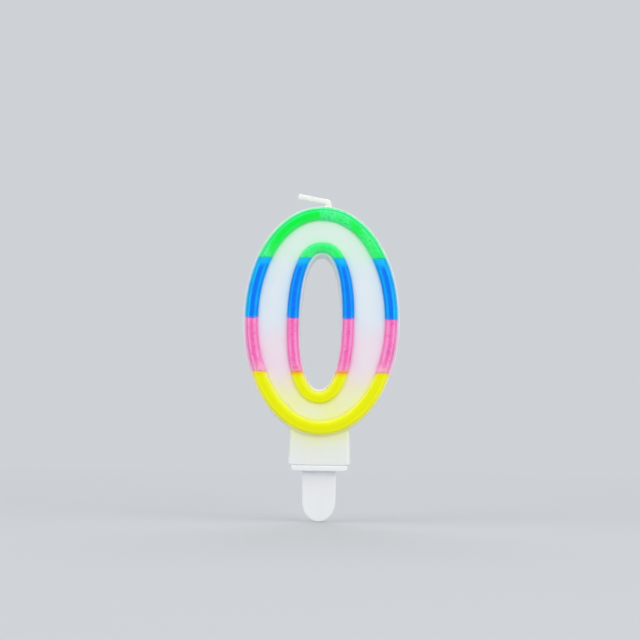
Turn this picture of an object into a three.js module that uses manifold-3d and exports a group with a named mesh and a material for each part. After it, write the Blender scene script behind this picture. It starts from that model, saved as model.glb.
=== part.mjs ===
import * as THREE from "three";
import { mergeVertices } from "three/addons/utils/BufferGeometryUtils.js";
import Module from "manifold-3d";

// A number candle: the digit nought in white wax, its front edged with two coloured beads of wax,
// a wick in the top of the arch, and a plastic pick in the foot that holds the candle in a cake.
// Millimetres. +Z is up and the front faces -Y. The origin is the middle of the underside of the
// pick's collar, which lies on the top of the cake.

const wasm = await Module();
wasm.setup();

// The digit: the outline of its front face, its depth and the taper of a moulded wall
const DIGIT_WIDTH = 45.0;
const DIGIT_HEIGHT = 65.9;
const DIGIT_SQUARENESS = 2.03;
const BODY_DEPTH = 9.5;
const BACK_Y = 4.2;
const WALL_DRAFT_DEG = 3.0;
const FRONT_EDGE_RADIUS = 0.4;

// The hole through the digit, widest a little below the middle, and its slight lean to one side
const HOLE_WIDTH = 12.0;
const HOLE_RISE = 20.45;
const HOLE_FALL = 18.45;
const HOLE_DROP = 1.45;
const HOLE_SQUARENESS = 2.2;
const HOLE_DRAFT_DEG = 2.2;
const HOLE_SHIFT = -0.25;
const HOLE_LEAN_DEG = 0.5;

// The raised beads: one inside the outer edge, one round the hole
const BEAD_HEIGHT = 1.1;
const BEAD_SHOULDER_WIDTH = 0.9;
const BEAD_SHOULDER_HEIGHT = 0.8;
const OUTER_SIDE_MARGIN = 0.7;
const OUTER_TOP_MARGIN = 0.5;
const OUTER_BOTTOM_MARGIN = 0.45;
const OUTER_BEAD_SIDE_WIDTH = 3.6;
const OUTER_BEAD_TOP_WIDTH = 3.6;
const OUTER_BEAD_BOTTOM_WIDTH = 3.75;
const INNER_MARGIN = 0.5;
const INNER_BEAD_SIDE_WIDTH = 3.15;
const INNER_BEAD_TOP_WIDTH = 2.9;
const INNER_BEAD_BOTTOM_WIDTH = 3.2;
const INNER_BEAD_UPPER_SQUARENESS = 2.4;
const INNER_BEAD_LOWER_SQUARENESS = 2.25;

// The coloured bands, measured down from the top of the digit; yellow takes the rest
const GREEN_BAND = 15.0;
const BLUE_BAND = 17.5;
const PINK_BAND = 15.1;

// The foot under the digit, set back from the digit's front
const FOOT_HEIGHT = 8.45;
const FOOT_TOP_WIDTH = 17.0;
const FOOT_BOTTOM_WIDTH = 17.6;
const FOOT_SETBACK = 1.3;
const FOOT_SINK = 6.0;
const FOOT_CORNER_RADIUS = 0.7;
const FOOT_EDGE_BEVEL = 0.5;

// The pick: a collar, a blade below it and a tongue above it
const COLLAR_WIDTH = 16.2;
const COLLAR_HEIGHT = 1.65;
const COLLAR_DEPTH = 8.2;
const COLLAR_CORNER_RADIUS = 0.8;
const BLADE_LENGTH = 14.65;
const BLADE_TOP_WIDTH = 9.85;
const BLADE_END_WIDTH = 9.6;
const BLADE_END_HEIGHT = 5.8;
const BLADE_THICKNESS = 1.6;
const BLADE_BEVEL = 0.35;
const TONGUE_WIDTH = 7.0;
const TONGUE_THICKNESS = 1.6;
const TONGUE_HEIGHT = 7.2;

// The wick: a stem in the arch and a free end folded over to the left
const WICK_DIAMETER = 1.7;
const WICK_OFFSET = 1.6;
const WICK_DEPTH = 11.5;
const WICK_EXPOSED = 1.75;
const WICK_TIP_LENGTH = 9.0;
const WICK_TIP_RISE_DEG = 10.5;
const WICK_TIP_CHAMFER = 0.2;

// Clearance of a piece in the hole that was moulded or cut for it
const FIT_GAP = 0.3;

// How finely round shapes are divided, and how near two vertices must be to count as one
const LOOP_STEPS = 108;
const CORNER_STEPS = 3;
const CURVE_STEPS = 8;
const BEVEL_STEPS = 2;
const KNUCKLE_STEPS = 4;
const WICK_SIDES = 20;
const WELD_DISTANCE = 1e-4;

// Places that follow from the sizes
const FRONT_Y = BACK_Y - BODY_DEPTH;
const FOOT_FRONT_Y = FRONT_Y + FOOT_SETBACK;
const DIGIT_BOTTOM_Z = COLLAR_HEIGHT + FOOT_HEIGHT;
const DIGIT_CENTRE_Z = DIGIT_BOTTOM_Z + DIGIT_HEIGHT / 2;
const DIGIT_TOP_Z = DIGIT_BOTTOM_Z + DIGIT_HEIGHT;
const HOLE_CENTRE_Z = DIGIT_CENTRE_Z - HOLE_DROP;
const MID_Y = (FRONT_Y + BACK_Y) / 2;
const WICK_RADIUS = WICK_DIAMETER / 2;
const BORE_RADIUS = WICK_RADIUS + FIT_GAP;
const BORE_FLOOR_Z = DIGIT_TOP_Z - WICK_DEPTH;
const BEND_Z = DIGIT_TOP_Z + WICK_EXPOSED;

const WHITE_WAX = { color: 0xe6eaec, roughness: 0.45 };
const GREEN_WAX = { color: 0x24ee6c, roughness: 0.4 };
const BLUE_WAX = { color: 0x0a8cf6, roughness: 0.35 };
const PINK_WAX = { color: 0xf66fb8, roughness: 0.45 };
const YELLOW_WAX = { color: 0xe9ee0c, roughness: 0.3 };
const WICK_COTTON = { color: 0xf6f4ea, roughness: 0.85 };
const WHITE_PLASTIC = { color: 0xe9ecef, roughness: 0.3 };

// A loop outline as a function of the angle; its upper and lower halves have their own shape
function loopOutline({ halfWidth, rise, fall, upper, lower, centreZ, shift = 0, leanDeg = 0 }) {
  const lean = Math.tan(THREE.MathUtils.degToRad(leanDeg));
  return (angle) => {
    const across = Math.cos(angle);
    const up = Math.sin(angle);
    const power = 2 / (up > 0 ? upper : lower);
    const x = halfWidth * Math.sign(across) * Math.abs(across) ** power;
    const z = (up > 0 ? rise : fall) * Math.sign(up) * Math.abs(up) ** power;
    return new THREE.Vector2(x + shift + z * lean, centreZ + z);
  };
}

// The digit's outer outline, grown or shrunk at its sides, top and bottom
function digitOutline(sides, top = sides, bottom = sides) {
  return loopOutline({
    halfWidth: DIGIT_WIDTH / 2 + sides,
    rise: DIGIT_HEIGHT / 2 + top,
    fall: DIGIT_HEIGHT / 2 + bottom,
    upper: DIGIT_SQUARENESS,
    lower: DIGIT_SQUARENESS,
    centreZ: DIGIT_CENTRE_Z,
  });
}

// The hole's outline, grown or shrunk at its sides, top and bottom
function holeOutline(sides, top = sides, bottom = sides, upper = HOLE_SQUARENESS, lower = upper) {
  return loopOutline({
    halfWidth: HOLE_WIDTH / 2 + sides,
    rise: HOLE_RISE + top,
    fall: HOLE_FALL + bottom,
    upper,
    lower,
    centreZ: HOLE_CENTRE_Z,
    shift: HOLE_SHIFT,
    leanDeg: HOLE_LEAN_DEG,
  });
}

// A closed ring swept from a closed section: each section point is a function of the angle
function sweepRing(section) {
  const positions = [];
  const indices = [];
  const sides = section.length;
  for (let step = 0; step < LOOP_STEPS; step++) {
    const angle = (2 * Math.PI * step) / LOOP_STEPS;
    const next = (step + 1) % LOOP_STEPS;
    section.forEach((point, side) => {
      positions.push(...point(angle));
      const after = (side + 1) % sides;
      const [a, b] = [step * sides + side, next * sides + side];
      const [c, d] = [next * sides + after, step * sides + after];
      indices.push(a, c, b, a, d, c);
    });
  }
  const geometry = new THREE.BufferGeometry();
  geometry.setAttribute("position", new THREE.Float32BufferAttribute(positions, 3));
  geometry.setIndex(indices);
  return geometry;
}

// A three.js geometry as a solid that can be joined and cut
function toSolid(geometry) {
  const bare = geometry.index ? geometry.toNonIndexed() : geometry.clone();
  bare.deleteAttribute("normal");
  bare.deleteAttribute("uv");
  const merged = mergeVertices(bare, WELD_DISTANCE);
  const vertProperties = merged.attributes.position.array;
  const triVerts = new Uint32Array(merged.index.array);
  return new wasm.Manifold(new wasm.Mesh({ numProp: 3, vertProperties, triVerts }));
}

// The solid's triangles as a three.js geometry
function toGeometry(solid) {
  const { vertProperties, triVerts } = solid.getMesh();
  const geometry = new THREE.BufferGeometry();
  geometry.setAttribute("position", new THREE.BufferAttribute(vertProperties, 3));
  geometry.setIndex(new THREE.BufferAttribute(triVerts, 1));
  geometry.computeVertexNormals();
  return geometry;
}

// A named sub-part with a finish of its own
function piece(name, geometry, finish) {
  const mesh = new THREE.Mesh(geometry, new THREE.MeshStandardMaterial(finish));
  mesh.name = name;
  return mesh;
}

// A box between two corners
function boxBetween(low, high) {
  const box = new THREE.Box3(new THREE.Vector3(...low), new THREE.Vector3(...high));
  const size = box.getSize(new THREE.Vector3());
  const centre = box.getCenter(new THREE.Vector3());
  return new THREE.BoxGeometry(size.x, size.y, size.z).translate(centre.x, centre.y, centre.z);
}

// A shape drawn in the front view, extruded from backY towards the front
function extrudeForward(shape, backY, depth, bevel = 0) {
  const geometry = new THREE.ExtrudeGeometry(shape, {
    depth: depth - 2 * bevel,
    curveSegments: CURVE_STEPS,
    bevelEnabled: bevel > 0,
    bevelThickness: bevel,
    bevelSize: bevel,
    bevelOffset: -bevel,
    bevelSegments: BEVEL_STEPS,
  });
  return geometry.translate(0, 0, bevel).rotateX(Math.PI / 2).translate(0, backY, 0);
}

// The digit: rounded front edges, tapered outer wall, flat back, and the hole that narrows backwards
function digitRing() {
  const wallTaper = Math.tan(THREE.MathUtils.degToRad(WALL_DRAFT_DEG));
  const holeTaper = Math.tan(THREE.MathUtils.degToRad(HOLE_DRAFT_DEG));
  const section = [];
  const addPoint = (outline, y) => section.push((angle) => [outline(angle).x, y, outline(angle).y]);
  for (let i = 0; i <= CORNER_STEPS; i++) {
    const turn = (Math.PI / 2) * (1 - i / CORNER_STEPS);
    const inset = FRONT_EDGE_RADIUS * (1 - Math.cos(turn));
    const back = FRONT_EDGE_RADIUS * (1 - Math.sin(turn));
    addPoint(digitOutline(back * wallTaper - inset), FRONT_Y + back);
  }
  addPoint(digitOutline(BODY_DEPTH * wallTaper), BACK_Y);
  addPoint(holeOutline(-BODY_DEPTH * holeTaper), BACK_Y);
  for (let i = 0; i <= CORNER_STEPS; i++) {
    const turn = (Math.PI / 2) * (i / CORNER_STEPS);
    const inset = FRONT_EDGE_RADIUS * (1 - Math.cos(turn));
    const back = FRONT_EDGE_RADIUS * (1 - Math.sin(turn));
    addPoint(holeOutline(inset - back * holeTaper), FRONT_Y + back);
  }
  return toSolid(sweepRing(section));
}

// The foot: flared downwards, rounded lower corners, tapered like the digit's outer wall
function foot() {
  const [top, bottom] = [FOOT_TOP_WIDTH / 2, FOOT_BOTTOM_WIDTH / 2];
  const [low, high] = [COLLAR_HEIGHT, DIGIT_BOTTOM_Z + FOOT_SINK];
  const r = FOOT_CORNER_RADIUS;
  const shape = new THREE.Shape();
  shape.moveTo(top, high);
  shape.lineTo(-top, high);
  shape.lineTo(-bottom, low + r);
  shape.absarc(-bottom + r, low + r, r, Math.PI, 1.5 * Math.PI);
  shape.absarc(bottom - r, low + r, r, 1.5 * Math.PI, 2 * Math.PI);
  const depth = BACK_Y - FOOT_FRONT_Y;
  const spare = 2 * FOOT_EDGE_BEVEL;
  const block = extrudeForward(shape, BACK_Y + spare, depth + spare, FOOT_EDGE_BEVEL);
  taperSides(block, FOOT_FRONT_Y);
  const keep = boxBetween([-DIGIT_WIDTH, FRONT_Y, 0], [DIGIT_WIDTH, BACK_Y, high]);
  return toSolid(block).intersect(toSolid(keep));
}

// Widens a geometry to both sides the further it is behind a plane
function taperSides(geometry, planeY) {
  const taper = Math.tan(THREE.MathUtils.degToRad(WALL_DRAFT_DEG));
  const position = geometry.attributes.position;
  for (let i = 0; i < position.count; i++) {
    const x = position.getX(i);
    position.setX(i, x + Math.sign(x) * taper * (position.getY(i) - planeY));
  }
}

// The slot in the foot that the pick's tongue slides into
function tongueSlot() {
  const halfWidth = TONGUE_WIDTH / 2 + FIT_GAP;
  const halfDepth = TONGUE_THICKNESS / 2 + FIT_GAP;
  const high = COLLAR_HEIGHT + TONGUE_HEIGHT + FIT_GAP;
  return toSolid(boxBetween([-halfWidth, -halfDepth, 0], [halfWidth, halfDepth, high]));
}

// The bore in the arch that the wick stands in
function wickBore() {
  const height = BEND_Z - BORE_FLOOR_Z;
  const bore = new THREE.CylinderGeometry(BORE_RADIUS, BORE_RADIUS, height, WICK_SIDES);
  const middle = BORE_FLOOR_Z + height / 2;
  return toSolid(bore.rotateX(Math.PI / 2).translate(WICK_OFFSET, MID_Y, middle));
}

// The white wax body: digit and foot cast in one, with the slot and the wick's bore
function waxBody() {
  const cast = digitRing().add(foot());
  return toGeometry(cast.subtract(tongueSlot()).subtract(wickBore()));
}

// A raised bead along a loop: flat on the face behind it, with rounded shoulders in front
function bead(centreline, sideWidth, topWidth, bottomWidth) {
  const halfWidthAt = (angle) => {
    const up = Math.sin(angle);
    const endWidth = up > 0 ? topWidth : bottomWidth;
    return (sideWidth + (endWidth - sideWidth) * up * up) / 2;
  };
  const normalAt = (angle) => {
    const step = Math.PI / LOOP_STEPS;
    const along = centreline(angle + step).sub(centreline(angle - step)).normalize();
    return new THREE.Vector2(along.y, -along.x);
  };
  const section = [];
  const addPoint = (side, inset, height) =>
    section.push((angle) => {
      const reach = side * (halfWidthAt(angle) - inset);
      const point = centreline(angle).addScaledVector(normalAt(angle), reach);
      return [point.x, FRONT_Y - height, point.y];
    });
  addPoint(1, 0, 0);
  addPoint(-1, 0, 0);
  for (const side of [-1, 1]) {
    for (let i = 0; i <= CORNER_STEPS; i++) {
      const turn = (Math.PI / 2) * (side < 0 ? i / CORNER_STEPS : 1 - i / CORNER_STEPS);
      const inset = BEAD_SHOULDER_WIDTH * (1 - Math.cos(turn));
      const drop = BEAD_SHOULDER_HEIGHT * (1 - Math.sin(turn));
      addPoint(side, inset, BEAD_HEIGHT - drop);
    }
  }
  return toSolid(sweepRing(section));
}

function outerBead() {
  const centreline = digitOutline(
    -OUTER_SIDE_MARGIN - OUTER_BEAD_SIDE_WIDTH / 2,
    -OUTER_TOP_MARGIN - OUTER_BEAD_TOP_WIDTH / 2,
    -OUTER_BOTTOM_MARGIN - OUTER_BEAD_BOTTOM_WIDTH / 2,
  );
  return bead(
    centreline,
    OUTER_BEAD_SIDE_WIDTH,
    OUTER_BEAD_TOP_WIDTH,
    OUTER_BEAD_BOTTOM_WIDTH,
  );
}

function innerBead() {
  const centreline = holeOutline(
    INNER_MARGIN + INNER_BEAD_SIDE_WIDTH / 2,
    INNER_MARGIN + INNER_BEAD_TOP_WIDTH / 2,
    INNER_MARGIN + INNER_BEAD_BOTTOM_WIDTH / 2,
    INNER_BEAD_UPPER_SQUARENESS,
    INNER_BEAD_LOWER_SQUARENESS,
  );
  return bead(
    centreline,
    INNER_BEAD_SIDE_WIDTH,
    INNER_BEAD_TOP_WIDTH,
    INNER_BEAD_BOTTOM_WIDTH,
  );
}

// The six coloured lengths of a bead, cut along the level lines between the colours
function colouredBands(name, solid) {
  const greenLow = DIGIT_TOP_Z - GREEN_BAND;
  const blueLow = greenLow - BLUE_BAND;
  const pinkLow = blueLow - PINK_BAND;
  const [left, right] = [-DIGIT_WIDTH, DIGIT_WIDTH];
  const bands = [
    ["green", left, right, greenLow, DIGIT_TOP_Z, GREEN_WAX],
    ["blue_left", left, 0, blueLow, greenLow, BLUE_WAX],
    ["blue_right", 0, right, blueLow, greenLow, BLUE_WAX],
    ["pink_left", left, 0, pinkLow, blueLow, PINK_WAX],
    ["pink_right", 0, right, pinkLow, blueLow, PINK_WAX],
    ["yellow", left, right, DIGIT_BOTTOM_Z, pinkLow, YELLOW_WAX],
  ];
  return bands.map(([colour, x0, x1, low, high, finish]) => {
    const slab = boxBetween([x0, FRONT_Y - 2 * BEAD_HEIGHT, low], [x1, BACK_Y, high]);
    return piece(`${name}_${colour}`, toGeometry(solid.intersect(toSolid(slab))), finish);
  });
}

// The pick's collar, with rounded lower corners
function collar() {
  const half = COLLAR_WIDTH / 2;
  const r = COLLAR_CORNER_RADIUS;
  const shape = new THREE.Shape();
  shape.moveTo(half, COLLAR_HEIGHT);
  shape.lineTo(-half, COLLAR_HEIGHT);
  shape.absarc(-half + r, r, r, Math.PI, 1.5 * Math.PI);
  shape.absarc(half - r, r, r, 1.5 * Math.PI, 2 * Math.PI);
  return toSolid(extrudeForward(shape, COLLAR_DEPTH / 2, COLLAR_DEPTH));
}

// The pick's blade, slightly tapered, with a rounded end and bevelled edges
function blade() {
  const [top, end] = [BLADE_TOP_WIDTH / 2, BLADE_END_WIDTH / 2];
  const shape = new THREE.Shape();
  const roundZ = BLADE_END_HEIGHT - BLADE_LENGTH;
  shape.moveTo(top, COLLAR_HEIGHT);
  shape.lineTo(-top, COLLAR_HEIGHT);
  shape.lineTo(-top, 0);
  shape.absellipse(0, roundZ, end, BLADE_END_HEIGHT, Math.PI, 2 * Math.PI, false, 0);
  shape.lineTo(top, 0);
  const block = extrudeForward(shape, BLADE_THICKNESS / 2, BLADE_THICKNESS, BLADE_BEVEL);
  const below = [-COLLAR_WIDTH, -COLLAR_DEPTH, -2 * BLADE_LENGTH];
  const keep = boxBetween(below, [COLLAR_WIDTH, COLLAR_DEPTH, COLLAR_HEIGHT / 2]);
  return toSolid(block).intersect(toSolid(keep));
}

// The pick's tongue, which stands in the foot's slot
function tongue() {
  const [halfWidth, halfDepth] = [TONGUE_WIDTH / 2, TONGUE_THICKNESS / 2];
  const high = COLLAR_HEIGHT + TONGUE_HEIGHT;
  return toSolid(
    boxBetween([-halfWidth, -halfDepth, COLLAR_HEIGHT / 2], [halfWidth, halfDepth, high]),
  );
}

function pick() {
  return piece("pick", toGeometry(collar().add(blade()).add(tongue())), WHITE_PLASTIC);
}

// The wick's stem stands on the bore's floor and ends in a round knuckle, where the wick bends
function wickStem() {
  const profile = new THREE.Path();
  profile.moveTo(0, BORE_FLOOR_Z);
  profile.lineTo(WICK_RADIUS, BORE_FLOOR_Z);
  profile.absarc(0, BEND_Z, WICK_RADIUS, 0, Math.PI / 2);
  const geometry = latheUp(profile);
  const stem = piece("wick_stem", geometry, WICK_COTTON);
  stem.position.set(WICK_OFFSET, MID_Y, 0);
  return stem;
}

// The wick's free end starts a clearance away from the knuckle and turns about its centre
function wickTip() {
  const profile = new THREE.Path();
  const start = WICK_RADIUS + FIT_GAP;
  profile.moveTo(0, start);
  profile.lineTo(WICK_RADIUS, start);
  profile.lineTo(WICK_RADIUS, WICK_TIP_LENGTH - WICK_TIP_CHAMFER);
  profile.lineTo(WICK_RADIUS - WICK_TIP_CHAMFER, WICK_TIP_LENGTH);
  profile.lineTo(0, WICK_TIP_LENGTH);
  const tip = piece("wick_tip", latheUp(profile), WICK_COTTON);
  tip.position.set(WICK_OFFSET, MID_Y, BEND_Z);
  tip.rotation.y = THREE.MathUtils.degToRad(WICK_TIP_RISE_DEG - 90);
  return tip;
}

// A profile turned round the upright axis
function latheUp(profile) {
  const points = profile.getPoints(KNUCKLE_STEPS);
  points[points.length - 1].x = 0;
  return new THREE.LatheGeometry(points, WICK_SIDES).rotateX(Math.PI / 2);
}

const candle = new THREE.Group();
candle.add(piece("wax_body", waxBody(), WHITE_WAX));
candle.add(...colouredBands("outer_rim", outerBead()));
candle.add(...colouredBands("inner_rim", innerBead()));
candle.add(wickStem(), wickTip());

const part = new THREE.Group();
part.add(pick(), candle);

export default part;
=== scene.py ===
import itertools
import math
from dataclasses import dataclass, replace

import bmesh
import bpy
import numpy as np
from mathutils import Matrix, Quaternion, Vector
from mathutils.kdtree import KDTree


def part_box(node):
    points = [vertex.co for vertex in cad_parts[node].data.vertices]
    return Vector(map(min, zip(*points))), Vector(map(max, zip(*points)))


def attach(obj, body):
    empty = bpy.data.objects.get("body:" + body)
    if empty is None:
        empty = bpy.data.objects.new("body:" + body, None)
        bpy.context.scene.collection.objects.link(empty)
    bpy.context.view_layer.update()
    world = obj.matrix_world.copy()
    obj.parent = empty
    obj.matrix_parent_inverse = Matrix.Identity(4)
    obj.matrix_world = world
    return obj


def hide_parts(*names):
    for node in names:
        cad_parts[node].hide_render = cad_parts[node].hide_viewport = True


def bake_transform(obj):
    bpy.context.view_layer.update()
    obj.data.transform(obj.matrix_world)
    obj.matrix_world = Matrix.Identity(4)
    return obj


# A number candle in the form of a nought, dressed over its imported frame. Sizes are in millimetres
# in the frame's axes: +Z up, the front faces -Y. Meshes are written in metres.
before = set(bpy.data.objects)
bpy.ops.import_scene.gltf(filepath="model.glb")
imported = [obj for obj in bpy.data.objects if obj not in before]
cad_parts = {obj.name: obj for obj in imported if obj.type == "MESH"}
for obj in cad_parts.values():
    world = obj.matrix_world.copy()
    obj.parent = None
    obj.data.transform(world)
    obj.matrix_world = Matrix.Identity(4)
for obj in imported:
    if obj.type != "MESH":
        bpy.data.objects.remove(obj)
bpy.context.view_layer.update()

MM = 0.001


def node_box(node):
    """A frame node's lowest and highest corners in millimetres"""
    low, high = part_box(node)
    return np.array(low) / MM, np.array(high) / MM


wax_low, wax_high = node_box("wax_body")
bead_low, _ = node_box("outer_rim_yellow")
pick_low, pick_high = node_box("pick")
stem_low, stem_high = node_box("wick_stem")

# The digit and its hole, as they were moulded
FRONT_Y = wax_low[1]
BACK_Y = wax_high[1]
WALL_TAPER = math.tan(math.radians(3.0))
DIGIT_SQUARENESS = 2.03
HOLE_TAPER = math.tan(math.radians(2.2))
HOLE_HALF_WIDTH = 6.0
HOLE_RISE = 20.45
HOLE_FALL = 18.45
HOLE_SQUARENESS = 2.2
HOLE_DROP = 1.45
HOLE_SHIFT = -0.25
HOLE_LEAN = math.tan(math.radians(0.5))
FRONT_EDGE_RADIUS = 0.42
BACK_EDGE_RADIUS = 0.35

# The open back of the casting, where the wax drew in as it set
BACK_DIP = 0.3
BACK_DIP_REACH = 4.5
BACK_WAVE = 0.04
BACK_WAVE_SIZE = 9.0
BACK_WAVE_REACH = 1.5
BACK_WAVE_SEED = 5

# The waves left in the walls, drawn out along the depth
WALL_WAVE = 0.035
WALL_WAVE_SIZE = 7.0
WALL_WAVE_STRETCH = 0.4
WALL_WAVE_SEED = 3

# The foot below the digit
FOOT_FRONT_Y = FRONT_Y + 1.3
FOOT_LOW_Z = wax_low[2]
FOOT_TOP_HALF = 8.5
FOOT_BOTTOM_HALF = 8.8
FOOT_SINK = 6.0
FOOT_CORNER_RADIUS = 0.7
FOOT_EDGE_RADIUS = 0.8
FOOT_LOW_EDGE_RADIUS = 0.3
FOOT_FILLET = 0.7

# The beads round the digit's edge and round the hole: at the sides, the top and the bottom
OUTER_MARGIN = (0.7, 0.5, 0.45)
OUTER_WIDTHS = (3.6, 3.6, 3.75)
INNER_MARGIN = (0.38, 0.6, 0.62)
INNER_WIDTHS = (3.25, 2.78, 3.2)
INNER_UPPER_SQUARENESS = 2.4
INNER_LOWER_SQUARENESS = 2.25

# A bead's section: a crown on two fillets, with a skirt hidden in the white wax
BEAD_HEIGHT = 1.1
CROWN_SQUARENESS = 2.6
CROWN_FULLNESS = 2.1
CROWN_STEPS = 18
BEAD_FILLET = 0.3
FILLET_STEPS = 3
FILLET_SHARE = 0.35
LIP_REACH = 0.05
LIP_DEPTH = 0.01
SKIRT_REACH = 0.1
SKIRT_DEPTH = 0.04
BEAD_ROOT = 0.8

# How a bead varies along its length
BEAD_STEP = 0.3
BEAD_WAVE = 0.05
BEAD_WAVE_SIZE = 6.0
SEAM_DEPTH = 0.02
SEAM_WIDTH = 0.35
# Painted shade: a dark line along the outward shoulder of the outer bead, standing in for a crease
# that the bead's section does not have
SHADED_CREASE_SIDE = 0.72
SHADED_CREASE_HALF_WIDTH = 0.12

# Where one colour ends and the next begins
GREEN_LOW_Z = node_box("outer_rim_green")[0][2]
BLUE_LOW_Z = node_box("outer_rim_blue_left")[0][2]
PINK_LOW_Z = node_box("outer_rim_pink_left")[0][2]

# The pick
COLLAR_HALF = 8.1
COLLAR_HEIGHT = wax_low[2]
COLLAR_HALF_DEPTH = pick_high[1]
COLLAR_CORNER_RADIUS = 0.8
COLLAR_EDGE_RADIUS = 0.3
BLADE_TOP_HALF = 4.925
BLADE_END_HALF = 4.8
BLADE_LENGTH = -pick_low[2]
BLADE_END_HEIGHT = 5.8
BLADE_HALF_THICKNESS = 0.8
BLADE_EDGE_RADIUS = 0.38
BLADE_ROOT_FILLET = 0.35
TONGUE_HALF = 3.5
TONGUE_HALF_THICKNESS = 0.8
TONGUE_TOP_Z = pick_high[2]
TONGUE_EDGE_RADIUS = 0.25
FIT_GAP = 0.3

# The wick: it stands in the arch and its free end is folded over
WICK_RADIUS = 0.83
WICK_X = (stem_low[0] + stem_high[0]) / 2
WICK_Y = (stem_low[1] + stem_high[1]) / 2
WICK_ROOT = 5.0
WICK_BEND_Z = stem_high[2] - (stem_high[0] - stem_low[0]) / 2
WICK_BEND_RADIUS = 1.1
WICK_TIP_LENGTH = 8.95
WICK_TIP_RISE = math.radians(10.5)
WICK_SIDES = 44
WICK_STEP = 0.13

# The wick's swell and pinch at its kink, and the wax drawn up round its base and into its fold
KINK_SWELL = 0.22
KINK_SWELL_REACH = 0.9
KINK_PINCH = 0.08
KINK_PINCH_REACH = 0.8
BASE_SWELL = 0.2
BASE_SWELL_RISE = 0.2
BASE_SWELL_REACH = 0.45
FOLD_FILLET = 0.5
FOLD_FILLET_DROP = 0.6
FOLD_FILLET_REACH = 0.55

# The wick's braid, which the wax hides near its base, and the groove along its front and back; the
# braid's hollows and the groove also get painted shade
BRAID_RELIEF = 0.045
BRAID_LEAST_RELIEF = 0.4
BRAID_CLEAR_LENGTH = 1.2
BRAID_PITCH = 1.3
BRAID_STRANDS = 4
GROOVE_DEPTH = 0.07
GROOVE_SPREAD = 0.05
GROOVE_SHADE = 0.7

# The wick's two ends: each dome is given by its loops, as shares of the rim and heights above it
END_FLARE = 0.06
END_FLARE_LENGTH = 1.2
END_TAPER = 0.22
END_TAPER_LENGTH = 0.3
END_DOME = ((0.66, 0.07), (0.33, 0.1), (0.0, 0.09))
END_ROUGHNESS = 0.03
END_ROUGHNESS_SIZE = 0.5
END_SEED = 77

# How fine the surfaces that are drawn as signed distances come out
WAX_CELL = 0.32
PICK_CELL = 0.2
GRID_MARGIN = 1.6

DIGIT_GROWTH = (BACK_Y - FRONT_Y) * WALL_TAPER
DIGIT_HALF_WIDTH = wax_high[0] - DIGIT_GROWTH
DIGIT_TOP_Z = wax_high[2] - DIGIT_GROWTH
DIGIT_BOTTOM_Z = bead_low[2] - OUTER_MARGIN[2]
DIGIT_HALF_HEIGHT = (DIGIT_TOP_Z - DIGIT_BOTTOM_Z) / 2
DIGIT_CENTRE_Z = DIGIT_BOTTOM_Z + DIGIT_HALF_HEIGHT


@dataclass
class Loop:
    """A rounded loop in the front view, whose two halves have their own rise and squareness"""

    half_width: float
    rise: float
    fall: float
    upper: float
    lower: float
    centre_z: float
    shift: float = 0.0
    lean: float = 0.0

    def grown(self, sides, top, bottom):
        """This loop made wider on both sides and longer at its top and bottom"""
        return replace(
            self,
            half_width=self.half_width + sides,
            rise=self.rise + top,
            fall=self.fall + bottom,
        )

    def points(self, angle):
        """The loop's x and z at these angles"""
        across, up = np.cos(angle), np.sin(angle)
        power = 2 / np.where(up > 0, self.upper, self.lower)
        reach = np.where(up > 0, self.rise, self.fall)
        x = self.half_width * np.sign(across) * np.abs(across) ** power
        z = reach * np.sign(up) * np.abs(up) ** power
        return x + self.shift + z * self.lean, self.centre_z + z

    def distance(self, x, z, grow=0.0):
        """Signed distance in mm to the loop grown by grow, true near the loop; below 0 is inside"""
        up = z - self.centre_z
        across = np.abs(x - self.shift - up * self.lean) + 1e-9
        power = np.where(up > 0, self.upper, self.lower)
        half = self.half_width + grow
        reach = np.where(up > 0, self.rise, self.fall) + grow
        up = np.abs(up) + 1e-9
        along = (across / half) ** power + (up / reach) ** power
        level = along ** (1 / power)
        slope_x = level / along * (across / half) ** (power - 1) / half
        slope_z = level / along * (up / reach) ** (power - 1) / reach
        return (level - 1) / np.hypot(slope_x, slope_z)


DIGIT = Loop(
    half_width=DIGIT_HALF_WIDTH,
    rise=DIGIT_HALF_HEIGHT,
    fall=DIGIT_HALF_HEIGHT,
    upper=DIGIT_SQUARENESS,
    lower=DIGIT_SQUARENESS,
    centre_z=DIGIT_CENTRE_Z,
)
HOLE = Loop(
    half_width=HOLE_HALF_WIDTH,
    rise=HOLE_RISE,
    fall=HOLE_FALL,
    upper=HOLE_SQUARENESS,
    lower=HOLE_SQUARENESS,
    centre_z=DIGIT_CENTRE_Z - HOLE_DROP,
    shift=HOLE_SHIFT,
    lean=HOLE_LEAN,
)
OUTER_LINE = DIGIT.grown(*[-m - w / 2 for m, w in zip(OUTER_MARGIN, OUTER_WIDTHS)])
INNER_LINE = replace(
    HOLE.grown(*[m + w / 2 for m, w in zip(INNER_MARGIN, INNER_WIDTHS)]),
    upper=INNER_UPPER_SQUARENESS,
    lower=INNER_LOWER_SQUARENESS,
)


def smoothstep(low, high, value):
    """0 at low, 1 at high and smooth between; low may be the greater one"""
    t = np.clip((value - low) / (high - low), 0, 1)
    return t * t * (3 - 2 * t)


def mixed(a, b, share):
    """Colours between a and b, with a share for each place"""
    return a + (b - a) * np.asarray(share)[..., None]


def ripple(points, size, seed, waves=14, spread=1.6):
    """A smooth random value from about -1 to 1 at each point, with features about size mm across"""
    rng = np.random.default_rng(seed)
    total = np.zeros(np.shape(points[0]))
    for _ in range(waves):
        direction = rng.normal(size=3)
        direction *= 2 * math.pi / size * rng.uniform(0.4, 1.0) / np.linalg.norm(direction)
        phase = rng.uniform(0, 2 * math.pi)
        total += np.sin(sum(d * p for d, p in zip(direction, points)) + phase)
    return total / math.sqrt(waves) / spread


def round_meet(a, b, radius):
    """What is inside both shapes, with the edge between them rounded"""
    corner = np.hypot(np.maximum(a + radius, 0), np.maximum(b + radius, 0))
    return np.minimum(np.maximum(a, b), -radius) + corner


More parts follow.
